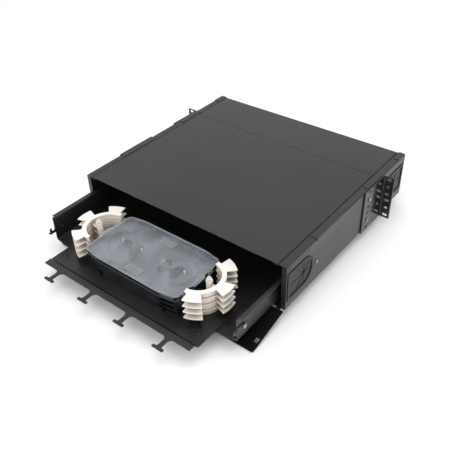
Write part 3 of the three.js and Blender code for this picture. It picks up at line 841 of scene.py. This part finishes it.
def postTree():
    graph = Grower("threaded post", guidePost)
    top = graph.vector(0.0, 0.0, graph.read("Height"))
    axis = graph.node("GeometryNodeCurvePrimitiveLine", {}, {"Start": (0, 0, 0), "End": top}, "Curve")
    axis = graph.node("GeometryNodeResampleCurve", {}, {"Curve": axis, "Count": graph.read("Segments")})
    position = graph.node("GeometryNodeInputPosition")
    height = graph.node("ShaderNodeSeparateXYZ", {}, {"Vector": position}, "Z")
    turns = graph.calc("DIVIDE", height * math.pi, graph.read("Pitch"))
    ridge = graph.calc("ABSOLUTE", graph.calc("SINE", turns))
    sockets = {0: graph.read("Height") - height, 1: graph.read("Tip")}
    taper = graph.node("ShaderNodeMath", {"operation": "DIVIDE", "use_clamp": True}, sockets)
    threaded = 1.0 - (1.0 - ridge) * graph.read("Thread")
    narrowed = 1.0 - (1.0 - taper) * graph.read("Narrowing")
    section = graph.circle(graph.read("Sides"), graph.read("Radius"))
    sockets = {"Curve": axis, "Profile Curve": section, "Scale": threaded * narrowed, "Fill Caps": True}
    post = graph.node("GeometryNodeCurveToMesh", {}, sockets)
    return graph.finish(graph.placed(graph.read("Geometry"), post))


def makePosts():
    postNodes = [node for node in nodes if node.startswith("guide_post")]
    places = []
    for node in postNodes:
        low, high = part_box(node)
        places.append((((low.x + high.x) / 2, (low.y + high.y) / 2, low.z), (0, 0, 1)))
    points = facingPoints("posts", places)
    posts = grown("guide_posts", postTree(), guidePost, "guide_ivory", "drawer", points)
    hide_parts(*postNodes)


makePosts()
print("posts threaded")


# what shows through the lid on the top tray: caps on the comb's fins, fibre hubs and locating pins

combCaps = {
    "Columns": 7,
    "Pitch": 0.0046,
    "Cap Length": 0.0155,
    "Cap Width": 0.0009,
    "Cap Height": 0.0006,
    "Spread": 0.082,  # between the front and back combs
}


def combCapTree():
    graph = Grower("comb caps", dict(combCaps, Place=(0.0, 0.0, 0.0)))
    pitch = graph.vector(graph.read("Pitch"), 0.0, 0.0)
    start = graph.vector(graph.read("Pitch") * (graph.read("Columns") - 1) * -0.5, 0.0, 0.0)
    sockets = {"Count": graph.read("Columns"), "Start Location": start, "Offset": pitch}
    row = graph.node("GeometryNodeMeshLine", {}, sockets, "Mesh")
    half = graph.read("Spread") * 0.5
    back = graph.shifted(row, graph.vector(0.0, half, 0.0))
    front = graph.shifted(row, graph.vector(0.0, half * -1, 0.0))
    rows = graph.joined(back, front)
    cap = graph.cube(graph.read("Cap Width"), graph.read("Cap Length"), graph.read("Cap Height"))
    return graph.finish(graph.placed(graph.shifted(rows, graph.read("Place")), cap))


fibreHubs = {
    "Apart": 0.09,
    "Long": 0.026,
    "Wide": 0.014,
    "Ring": 0.0052,
    "Wall": 0.0024,
    "Web": 1.25,  # as a share of the hub's length
    "Sides": 28,
    "Wall Sides": 8,
}


def fibreHubTree():
    graph = Grower("fibre hubs", dict(fibreHubs, Place=(0.0, 0.0, 0.0)))
    sockets = {"Size X": graph.read("Long"), "Size Y": graph.read("Wide"), "Vertices X": 2, "Vertices Y": 2}
    corners = graph.node("GeometryNodeMeshGrid", {}, sockets, "Mesh")
    ring = graph.circle(graph.read("Sides"), graph.read("Ring"))
    section = graph.circle(graph.read("Wall Sides"), graph.read("Wall"))
    tube = graph.node("GeometryNodeCurveToMesh", {}, {"Curve": ring, "Profile Curve": section})
    thick = graph.read("Wall") * 2
    web = graph.cube(graph.read("Long") * graph.read("Web"), thick, thick)
    hub = graph.joined(graph.placed(corners, tube), web)
    half = graph.read("Apart") * 0.5
    right = graph.shifted(hub, graph.vector(half, 0.0, 0.0))
    left = graph.shifted(hub, graph.vector(half * -1, 0.0, 0.0))
    return graph.finish(graph.shifted(graph.joined(right, left), graph.read("Place")))


locatingPins = {"Radius": 0.0017, "Height": 0.0052, "Sides": 20, "Rings": 10}


def locatingPinTree():
    graph = Grower("locating pins", locatingPins)
    height = graph.read("Height")
    radius = graph.read("Radius")
    stem = graph.raised(graph.cylinder(graph.read("Sides"), radius, height), height * 0.5)
    sockets = {"Segments": graph.read("Sides"), "Rings": graph.read("Rings"), "Radius": radius}
    dome = graph.node("GeometryNodeMeshUVSphere", {}, sockets, "Mesh")
    pin = graph.joined(stem, graph.raised(dome, height))
    return graph.finish(graph.placed(graph.read("Geometry"), pin))


trayPlaces = {
    "caps": 0.0064,  # above the tray's underside
    "hubs": 0.0042,
    "pins": 0.0014,
    "hubsShift": -0.004,  # back from the tray's middle
    "pinsShift": 0.003,
    "pinColumns": (-0.069, -0.025, 0.025, 0.069),
}


def makeTrayDetails(places):
    low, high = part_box("splice_tray_4")
    middle = (low.y + high.y) / 2
    caps = dict(combCaps, Place=(0.0, middle, low.z + places["caps"]))
    grown("comb_caps", combCapTree(), caps, "pin_white", "drawer")
    hubs = dict(fibreHubs, Place=(0.0, middle + places["hubsShift"], low.z + places["hubs"]))
    grown("fibre_hubs", fibreHubTree(), hubs, "matt_black_and_door_shade", "drawer")
    back = middle + places["pinsShift"]
    points = [((x, back, low.z + places["pins"]), (0, 0, 1)) for x in places["pinColumns"]]
    pins = facingPoints("pins", points)
    grown("locating_pins", locatingPinTree(), locatingPins, "pin_white", "drawer", pins)


makeTrayDetails(trayPlaces)
print("tray details moulded")


# stage

stage = {
    "floor": tone(0.96),
    "reach": 6,  # metres from the middle to the floor's edge
    "gap": 0.0003,  # between the floor and the lowest piece
    "world": tone(1.0),
    "glow": 0.9,
    "lamps": {  # place, size, power
        "overhead": ((0.5, -0.2, 2.4), 1.6, 15),
        "front": ((0.3, -2.2, 1.6), 1.2, 12),
        "right": ((2.4, -0.3, 1.2), 1.2, 8),
    },
}


def makeStage(look):
    mesh = bpy.data.meshes.new("floor")
    reach = look["reach"]
    height = cadBox[0].z - look["gap"]
    corners = [(-reach, -reach), (reach, -reach), (reach, reach), (-reach, reach)]
    mesh.from_pydata([(x, y, height) for x, y in corners], [], [(0, 1, 2, 3)])
    floor = newObject("floor", mesh)
    paint = Paint("studio floor", {"Roughness": 0.8, "Specular IOR Level": 0.2})
    paint.set("Base Color", look["floor"])
    mesh.materials.append(paint.material)

    world = bpy.data.worlds.new("studio")
    world.use_nodes = True
    background = world.node_tree.nodes["Background"]
    background.inputs["Color"].default_value = look["world"]
    background.inputs["Strength"].default_value = look["glow"]
    bpy.context.scene.world = world

    for name, (place, size, power) in look["lamps"].items():
        lamp = bpy.data.objects.new(name, bpy.data.lights.new(name, "AREA"))
        lamp.data.size = size
        lamp.data.energy = power
        lamp.location = place
        lamp.rotation_mode = "QUATERNION"
        lamp.rotation_quaternion = (-Vector(place)).to_track_quat("-Z", "Y")
        bpy.context.scene.collection.objects.link(lamp)
    bpy.context.scene.view_settings.view_transform = "Standard"


makeStage(stage)
print("stage lit")
